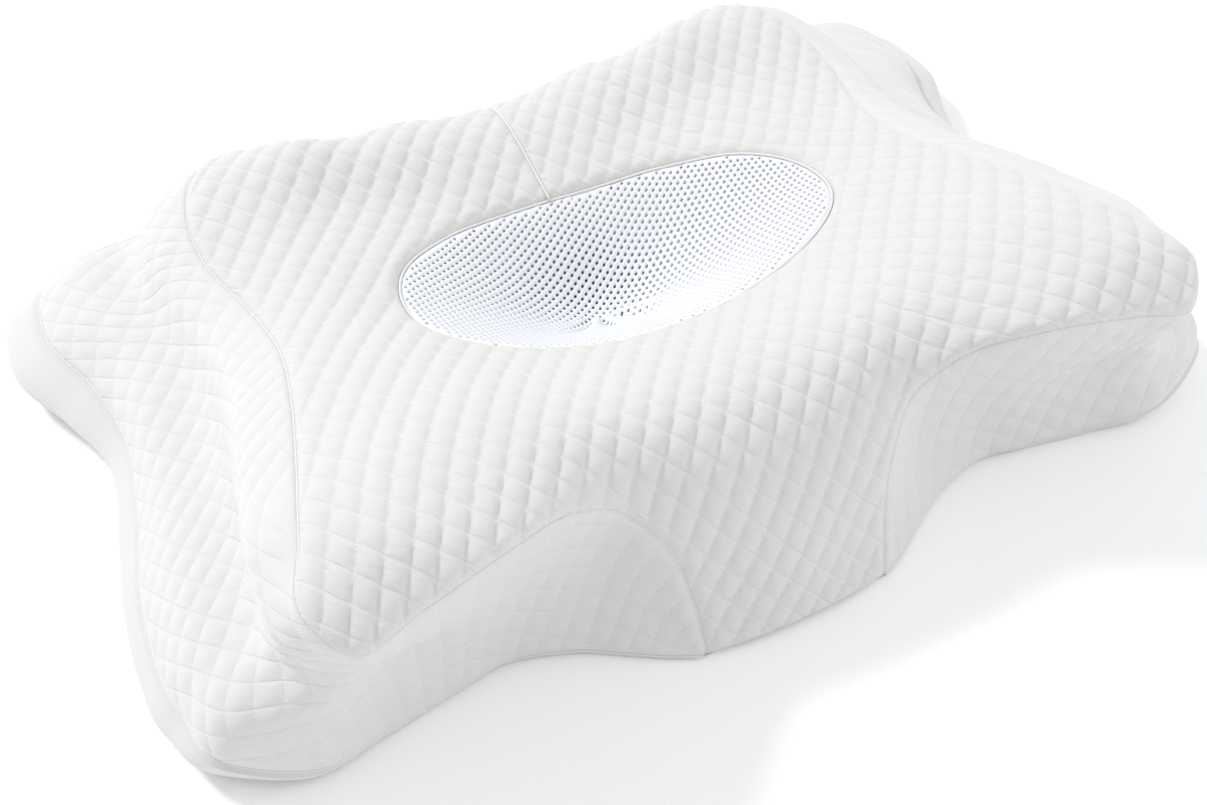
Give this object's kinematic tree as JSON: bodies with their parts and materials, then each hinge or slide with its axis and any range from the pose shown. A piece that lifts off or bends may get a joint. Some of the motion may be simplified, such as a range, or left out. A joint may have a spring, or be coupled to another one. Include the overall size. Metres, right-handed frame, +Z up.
{
  "type": "cervical pillow",
  "caption": "Two-tier butterfly-shaped neck pillow in a quilted knit cover, with a head hollow under an oval of airy mesh.",
  "frame": {"origin": "centre of the pillow's box, on the surface that it lies on", "axes": "+X along the pillow's length, to a sleeper's side; +Y from the high front roll to the low back edge; +Z up from the surface"},
  "size_m": [0.6318, 0.4072, 0.1426],
  "materials": {
    "quilted_knit": "soft white knit with raised diamond quilting",
    "side_knit": "soft white knit with raised diamond quilting",
    "plain_knit": "plain white knit",
    "airy_mesh": "white open spacer mesh"
  },
  "bodies": {
    "root": {"filled_base": "plain_knit", "top_panel": "quilted_knit", "side_panel_left": "side_knit", "side_panel_right": "side_knit", "mesh_panel": "airy_mesh"}
  },
  "joints": []
}
